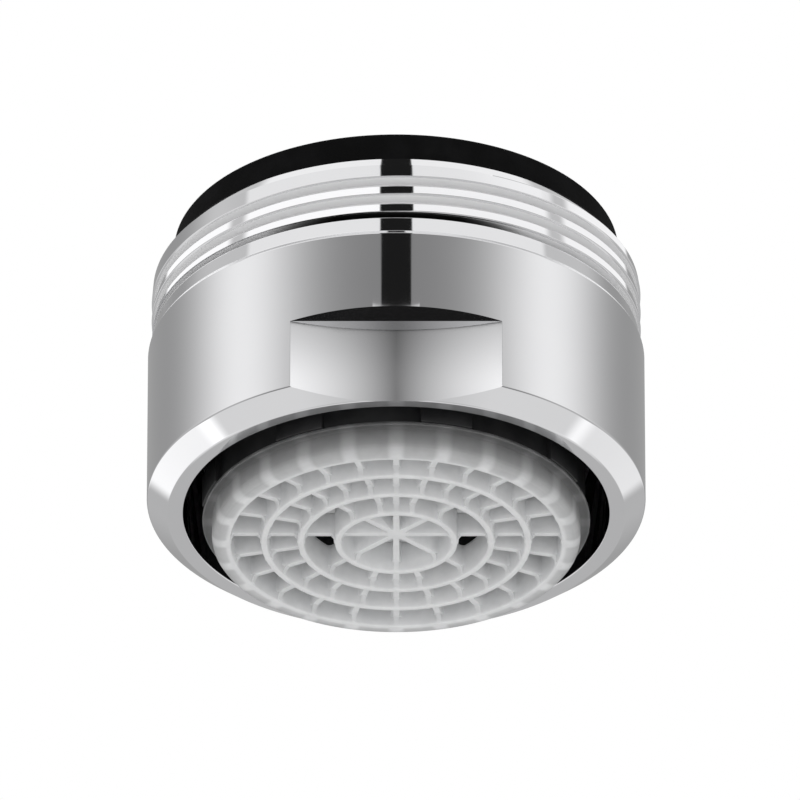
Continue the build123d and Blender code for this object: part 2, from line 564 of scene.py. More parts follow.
@dataclass(frozen=True)
class GlowFinish(Finish):
    """Plain light of a studio card, which may fall off to its middle line and towards its top."""

    name: str
    middle: float
    gain: float = 0.0
    half: float = 1.0
    low: float = 0.0
    high: float = 1.0
    top_share: float = 1.0
    curve: float = 0.35

    def draw(self, shader: Shader) -> None:
        """Writes the look's nodes.

        Args:
            shader: The material's shader.
        """
        _, x, _, z = shader.coordinates("Object")
        up = (z / MM).rise(self.low, self.high)
        aside = abs(x) / (self.half * MM)
        level = self.middle + self.gain * aside * (1.0 + self.curve - self.curve * aside)
        light = level * (1.0 - (1.0 - self.top_share) * up)
        glow = shader.node("ShaderNodeEmission", None, {"Color": light, "Strength": 1.0})
        shader.node("ShaderNodeOutputMaterial", None, {"Surface": glow.outputs[0]})


WASHER_LOOK = RubberFinish(
    name="matt_rubber",
    deep=(0.002, 0.002, 0.0022),
    dusty=(0.006, 0.006, 0.0065),
    roughness=0.85,
    gloss=0.12,
)
ELASTIC_LOOK = RubberFinish(
    name="elastic_ring",
    deep=(0.02, 0.02, 0.02),
    dusty=(0.045, 0.045, 0.045),
    roughness=0.6,
)
BLACK_LOOK = PlasticFinish(
    name="black_moulding",
    deep=(0.010, 0.010, 0.011),
    pale=(0.022, 0.022, 0.023),
    roughness=0.45,
)
WHITE_LOOK = PlasticFinish(
    name="white_moulding",
    deep=(0.76, 0.77, 0.77),
    pale=(0.84, 0.845, 0.845),
    roughness=0.48,
    subsurface=0.25,
)


@dataclass(frozen=True)
class Corner:
    """A corner of a turned section: its radius, its height and how far it is rounded."""

    radius: float
    height: float
    rounding: float = 0.0


def draw_section(bm: Mesh, corners: Sequence[Corner], closed: bool) -> None:
    """Draws a half section beside the axis, with rounded corners and flat runs between them.

    Args:
        bm: Mesh to draw in.
        corners: The section's corners, in order.
        closed: Whether the last corner joins the first.
    """
    verts = [bm.verts.new((corner.radius * MM, 0.0, corner.height * MM)) for corner in corners]
    followers = verts[1:] + verts[:1] if closed else verts[1:]
    for start, end in zip(verts, followers):
        bm.edges.new((start, end))
    for rounding in sorted({corner.rounding for corner in corners} - {0.0}):
        rounded = [vert for vert, corner in zip(verts, corners) if corner.rounding == rounding]
        round_off(bm, rounded, rounding, ROUND_STEPS, Rounded.CORNERS)
    for run in [edge for edge in bm.edges if edge.calc_length() > HOLD_FROM * MM]:
        for end in list(run.verts):
            bmesh.utils.edge_split(run, end, HOLD * MM / run.calc_length())


def round_off(
    bm: Mesh, geom: Sequence[Any], size: float, steps: int = 2, what: Rounded = Rounded.EDGES
) -> list[bmesh.types.BMFace]:
    """Rounds edges or corners of a mesh.

    Args:
        bm: Mesh that changes.
        geom: Its edges or vertices to round.
        size: Width of the rounding on each side, in millimetres.
        steps: Number of faces across it.
        what: Whether edges or corners are rounded.

    Returns:
        The rounding's faces.
    """
    made = bmesh.ops.bevel(
        bm,
        geom=list(geom),
        offset=size * MM,
        offset_type="OFFSET",
        segments=steps,
        profile=0.5,
        affect=what.value,
        clamp_overlap=what is Rounded.EDGES,
        material=-1,
    )
    return made["faces"]


def thicken(bm: Mesh, reach: Band) -> None:
    """Draws the faces of a flat outline out into a block.

    Args:
        bm: Mesh with the outline alone.
        reach: How far they go along each axis, in millimetres.
    """
    grown = bmesh.ops.extrude_face_region(bm, geom=bm.faces[:])["geom"]
    moved = [item for item in grown if isinstance(item, bmesh.types.BMVert)]
    bmesh.ops.translate(bm, vec=tuple(part * MM for part in reach), verts=moved)


def swing(bm: Mesh, angle: float) -> None:
    """Swings a mesh round the axis, by an angle in degrees."""
    matrix = Matrix.Rotation(math.radians(angle), 3, "Z")
    bmesh.ops.rotate(bm, cent=ORIGIN, matrix=matrix, verts=bm.verts[:])


def spin(bm: Mesh, steps: int, climb: float = 0.0) -> None:
    """Turns a drawn section once round the axis.

    Args:
        bm: Mesh with the section alone.
        steps: Number of facets in the full turn.
        climb: Height that the turn gains, in millimetres. Without it the turn closes.
    """
    bmesh.ops.spin(
        bm,
        geom=bm.verts[:] + bm.edges[:],
        cent=ORIGIN,
        axis=UP,
        dvec=(0.0, 0.0, climb * MM / steps),
        angle=FULL_TURN,
        steps=steps,
        use_merge=not climb,
    )


def turn(corners: Sequence[Corner], closed: bool = True, steps: int = TURN_STEPS) -> Mesh:
    """Turns a half section round the axis.

    Args:
        corners: The section's corners.
        closed: Whether the section is a closed outline.
        steps: Number of facets in the full turn.

    Returns:
        The turned mesh, with its faces outwards.
    """
    bm = bmesh.new()
    draw_section(bm, corners, closed)
    spin(bm, steps)
    settle(bm)
    return bm


def settle(bm: Mesh) -> None:
    """Merges doubled vertices, then turns the faces outwards."""
    bmesh.ops.remove_doubles(bm, verts=bm.verts[:], dist=MERGE_DISTANCE)
    bmesh.ops.recalc_face_normals(bm, faces=bm.faces[:])


def merge_into(bm: Mesh, other: Mesh) -> None:
    """Adds a mesh to another.

    Args:
        bm: Mesh that grows.
        other: Mesh that is added and used up.
    """
    mesh = bpy.data.meshes.new("part")
    other.to_mesh(mesh)
    other.free()
    bm.from_mesh(mesh)
    bpy.data.meshes.remove(mesh)


def rim_at(bm: Mesh, height: float) -> list[bmesh.types.BMEdge]:
    """Open edges at a height.

    Args:
        bm: Mesh to look in.
        height: Height of both ends, in millimetres.

    Returns:
        The edges with one face there.
    """
    near = LEVEL_DISTANCE * MM
    return [
        edge
        for edge in bm.edges
        if edge.is_boundary and all(abs(vert.co.z - height * MM) < near for vert in edge.verts)
    ]


def add_piece(name: str, bm: Mesh) -> Piece:
    """Makes an object of a mesh.

    Args:
        name: The object's name.
        bm: Its mesh, which is used up.

    Returns:
        The new object, at the origin.
    """
    mesh = bpy.data.meshes.new(name)
    bm.to_mesh(mesh)
    bm.free()
    piece = bpy.data.objects.new(name, mesh)
    bpy.context.scene.collection.objects.link(piece)
    return piece


def combine(piece: Piece, tool: Piece, cut: Cut) -> None:
    """Cuts a tool out of a piece, or joins it on, and removes the tool.

    Args:
        piece: Object whose mesh changes.
        tool: Object that acts on it.
        cut: What the tool does.
    """
    modifier = piece.modifiers.new(cut.name.lower(), "BOOLEAN")
    modifier.object = tool
    modifier.operation = cut.value
    modifier.solver = "EXACT"
    evaluated = piece.evaluated_get(bpy.context.evaluated_depsgraph_get())
    plain, piece.data = piece.data, bpy.data.meshes.new_from_object(evaluated)
    piece.data.name = piece.name
    piece.modifiers.clear()
    bpy.data.meshes.remove(plain)
    bpy.data.meshes.remove(tool.data)


def smooth(piece: Piece, sharp: float = SHARP_ANGLE) -> None:
    """Shades a piece smoothly between its sharp edges.

    Args:
        piece: Object to shade.
        sharp: Angle from which an edge is sharp.
    """
    piece.data.shade_smooth()
    piece.data.set_sharp_from_angle(angle=sharp)


def hide_from(piece: Piece, *rays: str) -> None:
    """Hides a piece from the kinds of rays that are named."""
    for ray in rays:
        setattr(piece, f"visible_{ray}", False)


def hand_over(piece: Piece, finish: Material, slot: Slot, *nodes: str) -> None:
    """Dresses a finished piece and puts it in the place of its CAD nodes.

    Args:
        piece: The finished object.
        finish: Its material.
        slot: The record's slot of that material. It is not used.
        nodes: CAD nodes that it stands for.
    """
    piece.data.materials.clear()
    piece.data.materials.append(finish)
    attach(piece, "root")
    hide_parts(*nodes)
    log.info("%s: %d faces, %s", piece.name, len(piece.data.polygons), finish.name)


@dataclass
class Housing:
    """The turned and chromed brass sleeve, with its thread and wrench flats."""

    crest: float = 11.97
    root: float = 11.47
    relief: float = 11.39
    seat: float = 10.75
    bore: float = 10.35
    body: float = 12.13
    foot: float = 11.08
    rim: float = 11.40
    flat_half: float = 11.0
    top_z: float = -1.75
    plain_above: float = -2.42
    plain: float = 11.90
    seat_z: float = -2.95
    thread_end_z: float = -5.09
    collar_top_z: float = -5.36
    shoulder_z: float = -6.19
    body_top_z: float = -6.36
    flat_top_z: float = -10.68
    body_low_z: float = -14.34
    opening_z: float = -15.10
    lip_z: float = -15.16
    ledge_rise: float = 0.18
    pitch: float = 1.0
    groove_z: float = -3.33
    groove_half: float = 0.255
    root_half: float = 0.05
    crest_rounding: float = 0.03
    crest_lean: float = math.tan(math.radians(9.0))
    collar_lean: float = math.tan(math.radians(6.0))
    run_out_from: float = 0.22
    run_out_to: float = 0.49
    edge: float = 0.06
    collar_edge: float = 0.05
    shoulder_edge: float = 0.03
    flat_edge: float = 0.05
    beyond: float = 1.0
    spare_turns: int = 3
    front_share: float = 0.25

    def make_thread(self) -> Mesh:
        """Winds the thread's section round the axis and trims it to length.

        Returns:
            A sleeve that is open at the top and at the bottom.
        """
        bm = bmesh.new()
        section: list[Corner] = []
        crest_width = self.pitch - 2.0 * self.groove_half
        turns = math.ceil((self.top_z - self.thread_end_z) / self.pitch) + self.spare_turns
        for turn_number in range(turns):
            turned = turn_number - turns + self.spare_turns + self.front_share
            middle = self.groove_z + turned * self.pitch
            section += [
                Corner(self.root, middle - self.root_half),
                Corner(self.root, middle + self.root_half),
                Corner(self.crest, middle + self.groove_half, self.crest_rounding),
                Corner(
                    self.crest - crest_width * self.crest_lean,
                    middle + self.groove_half + crest_width,
                    self.crest_rounding,
                ),
            ]
        draw_section(bm, section, closed=False)
        spin(bm, TURN_STEPS, self.pitch)
        bmesh.ops.remove_doubles(bm, verts=bm.verts[:], dist=MERGE_DISTANCE)
        self._slice(bm, self.plain_above, clear_above=True)
        self._slice(bm, self.thread_end_z, clear_below=True)
        for vert in bm.verts:
            self._run_out(vert)
        self._to_columns(rim_at(bm, self.plain_above), self.plain)
        grown = bmesh.ops.extrude_edge_only(bm, edges=rim_at(bm, self.thread_end_z))["geom"]
        edges = [item for item in grown if isinstance(item, bmesh.types.BMEdge)]
        self._to_columns(edges, self.relief)
        return bm

    @staticmethod
    def _slice(
        bm: Mesh, height: float, clear_above: bool = False, clear_below: bool = False
    ) -> None:
        """Cuts a level line into a mesh.

        Args:
            bm: Mesh that changes.
            height: Height of the line, in millimetres.
            clear_above: Whether what is above it goes.
            clear_below: Whether what is below it goes.
        """
        bmesh.ops.bisect_plane(
            bm,
            geom=bm.verts[:] + bm.edges[:] + bm.faces[:],
            dist=MERGE_DISTANCE,
            plane_co=(0.0, 0.0, height * MM),
            plane_no=UP,
            clear_outer=clear_above,
            clear_inner=clear_below,
        )

    @staticmethod
    def _to_columns(rim: Sequence[bmesh.types.BMEdge], radius: float) -> None:
        """Moves a rim onto the nearest columns of a turned surface.

        Args:
            rim: Edges at one height.
            radius: The turned surface's radius there, in millimetres.
        """
        step = FULL_TURN / TURN_STEPS
        for vert in {vert for edge in rim for vert in edge.verts}:
            angle = round(math.atan2(vert.co.y, vert.co.x) / step) * step
            vert.co.x = radius * MM * math.cos(angle)
            vert.co.y = radius * MM * math.sin(angle)

    def _run_out(self, vert: bmesh.types.BMVert) -> None:
        """Lets the last groove run out at the back, below a crest that leads to the plain rim.

        Args:
            vert: Vertex of the thread, which may move towards or away from the axis.
        """
        height = vert.co.z / MM
        around = math.atan2(vert.co.x, -vert.co.y) / FULL_TURN
        number = round((height - self.groove_z) / self.pitch - around)
        if number < 0:
            return
        wound = around + number
        span = self.run_out_to - self.run_out_from
        share = min(max((wound - self.run_out_from) / span, 0.0), 1.0)
        share = share * share * (3.0 - 2.0 * share)
        groove_end = self.groove_z + self.groove_half + self.pitch * wound
        start = groove_end - self.pitch * share
        along = max((height - start) / (self.plain_above - start), 0.0)
        wanted = (self.crest + (self.plain - self.crest) * along) * MM
        radius = math.hypot(vert.co.x, vert.co.y)
        if height < groove_end:
            wanted = radius + (wanted - radius) * share
        vert.co.x *= wanted / radius
        vert.co.y *= wanted / radius

    def make_body(self) -> Mesh:
        """Turns what is below, inside and above the thread.

        Returns:
            A sleeve that is open where the thread goes.
        """
        collar = self.crest - (self.collar_top_z - self.shoulder_z) * self.collar_lean
        return turn(
            [
                Corner(self.relief, self.thread_end_z),
                Corner(self.relief, self.collar_top_z),
                Corner(collar, self.collar_top_z, self.collar_edge),
                Corner(self.crest, self.shoulder_z, self.shoulder_edge),
                Corner(self.body, self.body_top_z, self.edge),
                Corner(self.body, self.body_low_z, self.edge),
                Corner(self.foot, self.lip_z, self.edge),
                Corner(self.bore, self.opening_z, self.edge),
                Corner(self.bore, self.seat_z, self.edge),
                Corner(self.seat, self.seat_z, self.edge),
                Corner(self.seat, self.top_z, self.edge),
                Corner(self.rim, self.top_z, self.edge),
                Corner(self.plain, self.plain_above),
            ],
            closed=False,
        )

    def join_sleeves(self) -> Mesh:
        """Joins the thread to the body.

        Returns:
            The closed housing without its flats.
        """
        bm = self.make_thread()
        merge_into(bm, self.make_body())
        settle(bm)
        gaps = sum(edge.is_boundary for edge in bm.edges)
        log.info("housing: %d open edges", gaps)
        return bm

    def make_flat_cutter(self) -> Piece:
        """Makes the two blocks that the wrench flats are cut with.

        Returns:
            One object with both blocks.
        """
        bm = bmesh.new()
        outer = self.body + self.beyond
        slope = self.ledge_rise / (self.body - self.flat_half)
        outline = (
            (self.flat_half, self.flat_top_z),
            (outer, self.flat_top_z + slope * (outer - self.flat_half)),
            (outer, self.lip_z - self.beyond),
            (self.flat_half, self.lip_z - self.beyond),
        )
        bm.faces.new([bm.verts.new((-outer * MM, y * MM, z * MM)) for y, z in outline])
        thicken(bm, (2.0 * outer, 0.0, 0.0))
        block = bm.verts[:] + bm.edges[:] + bm.faces[:]
        bmesh.ops.mirror(bm, geom=block, axis="Y", merge_dist=-1.0)
        settle(bm)
        return add_piece("flat_cutter", bm)

    def build(self, finish: Material) -> None:
        """Builds and dresses the housing.

        Args:
            finish: The piece's material.
        """
        piece = add_piece("chromed_housing", self.join_sleeves())
        combine(piece, self.make_flat_cutter(), Cut.TAKE_AWAY)
        smooth(piece)
        self._break_edges(piece)
        hand_over(piece, finish, Slot.CHROME, "housing")

    def _break_edges(self, piece: Piece) -> None:
        """Breaks the wrench flats' upright edges, and keeps the flats plane up to their rims.

        Args:
            piece: The housing.
        """
        bm = bmesh.new()
        bm.from_mesh(piece.data)
        flats = [
            face
            for face in bm.faces
            if abs(face.normal.y) > PLANE_FACING
            and abs(abs(face.calc_center_median().y) / MM - self.flat_half) < PLANE_DISTANCE
        ]
        upright = []
        for edge in {edge for face in flats for edge in face.edges}:
            edge.smooth = False
            start, end = (vert.co for vert in edge.verts)
            tall = abs(start.z - end.z) > self.flat_edge * MM
            if tall and abs(start.x - end.x) < MERGE_DISTANCE:
                upright.append(edge)
        strips = round_off(bm, upright, self.flat_edge)
        for edge in {edge for face in strips for edge in face.edges}:
            edge.smooth = all(face in strips for face in edge.link_faces)
        bm.to_mesh(piece.data)
        bm.free()


@dataclass
class SealingWasher:
    """The flat rubber ring on top."""

    outer: float = 10.90
    inner: float = 8.80
    thickness: float = 1.75
    edge: float = 0.18

    def build(self, finish: Material) -> None:
        """Builds and dresses the washer.

        Args:
            finish: The piece's material.
        """
        bm = turn([
            Corner(self.inner, 0.0, self.edge),
            Corner(self.outer, 0.0, self.edge),
            Corner(self.outer, -self.thickness, self.edge),
            Corner(self.inner, -self.thickness, self.edge),
        ])
        piece = add_piece("flat_washer", bm)
        smooth(piece)
        hand_over(piece, finish, Slot.WASHER_RUBBER, "sealing_washer")


@dataclass
class OutletGrille:
    """The silicone outlet: a drum with rings and recessed ribs."""

    bore: float = 8.05
    collar: float = 8.40
    flange: float = 9.42
    drum: float = 8.95
    collar_top_z: float = -13.48
    flange_top_z: float = -15.33
    flange_low_z: float = -15.51
    low_z: float = -16.73
    top_z: float = -15.08
    rib_low_z: float = -16.21
    rings: tuple[float, ...] = (2.83, 4.62, 6.41, 8.20)
    ring_wall: float = 0.30
    ring_edge: float = 0.09
    rib_wall: float = 0.30
    rib_edge: float = 0.06
    fillet: float = 0.24
    close_fillet: float = 0.17
    fillet_share: float = 0.9
    fillet_steps: int = 3
    low_reach: float = 0.1
    web_reach: float = 0.20
    web_low_z: float = -16.64
    web_toe: float = 0.04
    web_waist: float = 0.3
    web_waist_rise: float = 0.05
    web_edge_rise: float = 0.02
    hub: float = 0.50
    hub_steps: int = 32
    hub_overlap: float = 0.1
    spokes: int = 8
    fine_ribs: int = 24
    side_rib_angle: float = 15.0
    rim_edge: float = 0.42
    edge: float = 0.05
    steps: int = 144
    overlap: float = 0.02
    deep_overlap: float = 0.06

    def make_drum(self) -> Mesh:
        """Turns the drum with its flange and collar."""
        return turn(
            [
                Corner(self.bore, self.collar_top_z),
                Corner(self.collar, self.collar_top_z),
                Corner(self.collar, self.flange_top_z),
                Corner(self.flange, self.flange_top_z, self.edge),
                Corner(self.flange, self.flange_low_z, self.edge),
                Corner(self.drum, self.flange_low_z, self.edge),
                Corner(self.drum, self.low_z, self.rim_edge),
                Corner(self.bore, self.low_z, self.ring_edge),
            ],
            steps=self.steps,
        )

    def add_rings(self, bm: Mesh) -> None:
        """Adds the rings and the hub inside the drum.

        Args:
            bm: The drum's mesh.
        """
        half = 0.5 * self.ring_wall
        for radius in self.rings[:-1]:
            ring = turn(
                [
                    Corner(radius - half, self.top_z),
                    Corner(radius + half, self.top_z),
                    Corner(radius + half, self.low_z, self.ring_edge),
                    Corner(radius - half, self.low_z, self.ring_edge),
                ],
                steps=self.steps,
            )
            merge_into(bm, ring)
        hub = bmesh.new()
        bmesh.ops.create_cone(
            hub,
            cap_ends=True,
            segments=self.hub_steps,
            radius1=self.hub * MM,
            radius2=self.hub * MM,
            depth=(self.top_z - self.rib_low_z) * MM,
            matrix=Matrix.Translation((0.0, 0.0, 0.5 * (self.top_z + self.rib_low_z) * MM)),
        )
        self._round_low_edges(hub)
        merge_into(bm, hub)

    def _round_low_edges(self, bm: Mesh) -> None:
        """Rounds the edges of a rib's or the hub's lower face.

        Args:
            bm: Its mesh.
        """
        line = (self.rib_low_z + self.low_reach) * MM
        low = [edge for edge in bm.edges if all(vert.co.z < line for vert in edge.verts)]
        round_off(bm, low, self.rib_edge)

    def make_rib(self, inner: float, outer: float, angle: float, inner_fillet: float) -> Mesh:
        """Makes one rib between two walls.

        Args:
            inner: Radius at the middle of the wall that the rib starts in.
            outer: Radius at the middle of the wall that it ends in.
            angle: Where it stands round the axis, in degrees.
            inner_fillet: Size of the fillets at its inner end.

        Returns:
            The rib, filleted at its ends and rounded below.
        """
        bm = bmesh.new()
        half = 0.5 * self.rib_wall
        start, end = inner + 0.5 * self.overlap, outer - 0.5 * self.overlap
        last = outer - 0.5 * self.ring_wall + self.overlap
        outline = [(last, half), (last, half + self.fillet), (end, half + self.fillet)]
        outline += [(x, -y) for x, y in reversed(outline)]
        inner_end = [(start, -half)]
        if inner_fillet:
            first = inner + 0.5 * self.ring_wall - self.deep_overlap
            wide = -half - inner_fillet
            inner_end = [(first, -half), (first, wide), (start, wide)]
        outline += inner_end + [(x, -y) for x, y in reversed(inner_end)]
        verts = [bm.verts.new((x * MM, y * MM, self.rib_low_z * MM)) for x, y in outline]
        bm.faces.new(verts)
        hollow = [
            vert for vert, (x, y) in zip(verts, outline) if abs(y) == half and start < x < end
        ]
        size = self.fillet_share * self.fillet
        round_off(bm, hollow, size, self.fillet_steps, Rounded.CORNERS)
        thicken(bm, (0.0, 0.0, self.top_z - self.rib_low_z))
        bmesh.ops.recalc_face_normals(bm, faces=bm.faces[:])
        self._round_low_edges(bm)
        swing(bm, angle)
        return bm

    def make_web(self, wall: float, inwards: float, angle: float) -> Mesh:
        """Makes the web that leads a rib's end down along a wall.

        Args:
            wall: Radius at the middle of the wall.
            inwards: 1 for a web on the wall's inner side, -1 for one on its outer side.
            angle: Where it stands round the axis, in degrees.

        Returns:
            The web, rounded below.
        """
        bm = bmesh.new()
        half = 0.5 * self.rib_wall - self.overlap
        face = wall - inwards * 0.5 * self.ring_wall
        buried = face + inwards * self.deep_overlap
        tip = face - inwards * self.web_reach
        waist = face - inwards * self.web_waist * self.web_reach
        top = self.rib_low_z + self.low_reach
        middle = 0.5 * (self.rib_low_z + self.web_low_z)
        outline = (
            (buried, top),
            (buried, self.web_low_z),
            (face - inwards * self.web_toe, self.web_low_z + self.web_edge_rise),
            (waist, middle + self.web_waist_rise),
            (tip, self.rib_low_z + self.web_edge_rise),
            (tip, top),
        )
        bm.faces.new([bm.verts.new((x * MM, -half * MM, z * MM)) for x, z in outline])
        thicken(bm, (0.0, 2.0 * half, 0.0))
        bmesh.ops.recalc_face_normals(bm, faces=bm.faces[:])
        swing(bm, angle)
        return bm

    def place_ribs(self) -> list[tuple[float, float, float, float]]:
        """Sets out the spokes, the pairs beside the front and back ones, and the fine ribs.

        Returns:
            Inner wall, outer wall, angle and inner fillet of each rib.
        """
        spokes = [360.0 / self.spokes * number for number in range(self.spokes)]
        fine = [360.0 / self.fine_ribs * number for number in range(self.fine_ribs)]
        beside = (-self.side_rib_angle, self.side_rib_angle)
        pairs = [side + turned for side in (90.0, -90.0) for turned in beside]
        ribs = [(self.hub - self.hub_overlap, self.rings[0], angle, 0.0) for angle in spokes]
        ribs += [(*self.rings[:2], angle, self.close_fillet) for angle in spokes + pairs]
        for walls in zip(self.rings[1:], self.rings[2:]):
            ribs += [(*walls, angle, self.fillet) for angle in fine]
        return ribs

    def make_ribs(self) -> Mesh:
        """Makes all the ribs.

        Returns:
            One mesh with all of them.
        """
        bm = bmesh.new()
        for inner, outer, angle, inner_fillet in self.place_ribs():
            merge_into(bm, self.make_rib(inner, outer, angle, inner_fillet))
        return bm

    def make_webs(self) -> Mesh:
        """Makes the webs at the ribs' ends.

        Returns:
            One mesh with all of them.
        """
        bm = bmesh.new()
        for inner, outer, angle, inner_fillet in self.place_ribs():
            merge_into(bm, self.make_web(outer, 1.0, angle))
            if inner_fillet:
                merge_into(bm, self.make_web(inner, -1.0, angle))
        return bm

    def build(self, finish: Material) -> None:
        """Builds and dresses the grille.

        Args:
            finish: The piece's material.
        """
        walls = self.make_drum()
        self.add_rings(walls)
        piece = add_piece("outlet_grille_soft", walls)
        combine(piece, add_piece("grille_ribs", self.make_ribs()), Cut.JOIN)
        combine(piece, add_piece("grille_webs", self.make_webs()), Cut.JOIN)
        smooth(piece, SOFT_ANGLE)
        hand_over(piece, finish, Slot.GRILLE_SILICONE, "outlet_grille")


@dataclass
class Cartridge:
    """The cartridge's moulded pieces, which keep their CAD shape and get softened edges."""

    black: Sequence[str] = ("insert_sleeve", "mixing_grid_upper")
    white: Sequence[str] = ("inlet_strainer", "regulator_body", "jet_plate", "mixing_grid_lower")
    elastic: Sequence[str] = ("regulator_ring",)
    edge: float = 0.05
    plane_angle: float = math.radians(0.5)
    corner_angle: float = math.radians(40.0)

    def soften(self, node: Piece) -> Mesh:
        """Copies a CAD shape and rounds its edges.

        Args:
            node: The CAD node.

        Returns:
            The softened copy.
        """
        bm = bmesh.new()
        bm.from_mesh(node.data)
        settle(bm)
        bmesh.ops.dissolve_limit(
            bm, angle_limit=self.plane_angle, verts=bm.verts[:], edges=bm.edges[:]
        )
        corners = [
            edge
            for edge in bm.edges
            if len(edge.link_faces) == 2 and edge.calc_face_angle() > self.corner_angle
        ]
        round_off(bm, corners, self.edge)
        settle(bm)
        return bm

    def build(self, black: Material, white: Material, elastic: Material) -> None:
        """Builds and dresses the pieces of each finish.

        Args:
            black: Material of the black pieces.
            white: Material of the white pieces.
            elastic: Material of the elastic ring.
        """
        groups = (
            (self.black, black, Slot.BLACK_PLASTIC),
            (self.white, white, Slot.WHITE_PLASTIC),
            (self.elastic, elastic, Slot.REGULATOR_RUBBER),
        )
        for names, finish, slot in groups:
            for name in names:
                piece = add_piece(f"{name}_moulded", self.soften(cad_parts[name]))
                smooth(piece)
                hand_over(piece, finish, slot, name)


@dataclass(frozen=True)
class MirroredRoom:
    """What the chrome mirrors, in degrees round the part from the front and above the horizon."""

    left_ramp: Ramp = (-0.05, 0.05)
    front_ramp: Ramp = (-0.02, 0.02)
    back_ramp: Ramp = (85.0, 180.0)
    ahead_ramp: Ramp = (112.0, 128.0)
    wall_light: float = 0.235
    wall_back_gain: float = 0.13
    wall_side_gain: float = 0.70
    wall_side: Ramp = (76.0, 23.0)
    wall_ramp: Ramp = (-6.0, 16.0)
    high_light: float = 0.58
    high_front_gain: float = 0.30
    high_front: Band = (-30.0, 80.0, 2.0)
    high_ramp: Ramp = (36.0, 39.0)
    low_light: float = 0.74
    shelf_dark: float = 0.25
    shelf_front_dark: float = 0.16
    shelf_front: Ramp = (4.0, 26.0)
    shelf_side_dark: float = 0.24
    shelf_side: Ramp = (52.0, 12.0)
    shelf_ramp: Ramp = (-41.0, -37.0)
    foot_gain: float = 0.43
    foot_left_gain: float = 0.22
    foot_sector: Band = (109.0, 143.0, 2.5)
    foot_slope: float = 0.763
    foot_place: Ramp = (-121.0, 9.0)
    crest_light: float = 1.02
    crest_left_gain: float = 0.1
    front_crest_slope: float = 0.05
    front_crest_ramp: Ramp = (45.4, 46.6)
    front_crest_sector: Band = (-30.0, 86.0, 3.0)
    back_crest_slope: float = 0.118
    back_crest_ramp: Ramp = (51.4, 52.8)
    back_crest_sector: Band = (96.0, 152.0, 3.0)
    belt_light: float = 0.60
    belt_range: Band = (52.0, 70.0, 2.0)
    top_light: float = 0.95
    top_front_lift: float = 14.0
    top_ramp: Ramp = (54.0, 58.0)
    bottom_light: float = 0.55
    bottom_ramp: Ramp = (62.0, 75.0)
    bar_light: float = 0.012
    bar_half: float = 0.103
    bar_soft: float = 0.006
    bar_taper: float = 1.7
    bar_taper_ramp: Ramp = (50.0, 66.0)
    bar_from: Ramp = (14.0, 18.0)
    bar_back_from: Ramp = (58.0, 62.0)
    bar_under: Band = (-56.0, -43.0, 1.0)

    def light(self, shader: Shader) -> Value:
        """Light from each direction.

        Args:
            shader: The world's nodes.

        Returns:
            The light's strength.
        """
        _, x, y, z = shader.coordinates("Generated")
        side = abs(x)
        around = side.angle_to(-y) * DEGREES
        rise = z.arc_sine() * DEGREES
        left = (-x).rise(*self.left_ramp)
        ahead = 1.0 - around.rise(*self.ahead_ramp)
        wall = self.wall_light + around.rise(*self.back_ramp) * self.wall_back_gain
        wall = wall + around.bump(*self.wall_side) * self.wall_side_gain
        high = self.high_light + around.within(*self.high_front) * self.high_front_gain
        foot = (rise - around * self.foot_slope).bump(*self.foot_place)
        foot = around.within(*self.foot_sector) * foot
        shelf = self.shelf_dark + self.shelf_front_dark * (1.0 - around.rise(*self.shelf_front))
        shelf = shelf + self.shelf_side_dark * around.bump(*self.shelf_side)
        low = self.low_light - shelf * rise.rise(*self.shelf_ramp)
        low = low + foot * (self.foot_gain + left * self.foot_left_gain)
        light = low.towards(wall, rise.rise(*self.wall_ramp))
        light = light.towards(high, rise.rise(*self.high_ramp))
        front_crests = (rise + around * self.front_crest_slope).rise(*self.front_crest_ramp)
        back_crests = (rise + around * self.back_crest_slope).rise(*self.back_crest_ramp)
        crests = front_crests * around.within(*self.front_crest_sector)
        crests = crests + back_crests * around.within(*self.back_crest_sector)
        light = light.towards(self.crest_light + left * self.crest_left_gain, crests)
        belt = rise.within(*self.belt_range) * ahead
        light = light.towards(self.belt_light, belt)
        light = light.towards(
            self.top_light, (rise - ahead * self.top_front_lift).rise(*self.top_ramp)
        )
        light = light.towards(self.bottom_light, (-rise).rise(*self.bottom_ramp))
        front = (-y).rise(*self.front_ramp)
        return light.towards(self.bar_light, self._bar(side, rise, front, belt))

    def _bar(self, side: Value, rise: Value, front: Value, belt: Value) -> Value:
        """Mask of the dark upright bar.

        Args:
            side: Distance from the plane through the middle.
            rise: Degrees above the horizon.
            front: Mask of the front half.
            belt: Mask of the belt, which hides the bar.

        Returns:
            1 on the bar and 0 elsewhere.
        """
        taper = 1.0 + self.bar_taper * rise.rise(*self.bar_taper_ramp)
        edge = (self.bar_half - self.bar_soft, self.bar_half + self.bar_soft)
        over = rise.rise(*self.bar_from) * (1.0 - belt)
        over = over * front.towards(1.0, rise.rise(*self.bar_back_from))
        under = rise.within(*self.bar_under) * front
        return (1.0 - (side * taper).rise(*edge)) * (over + under)


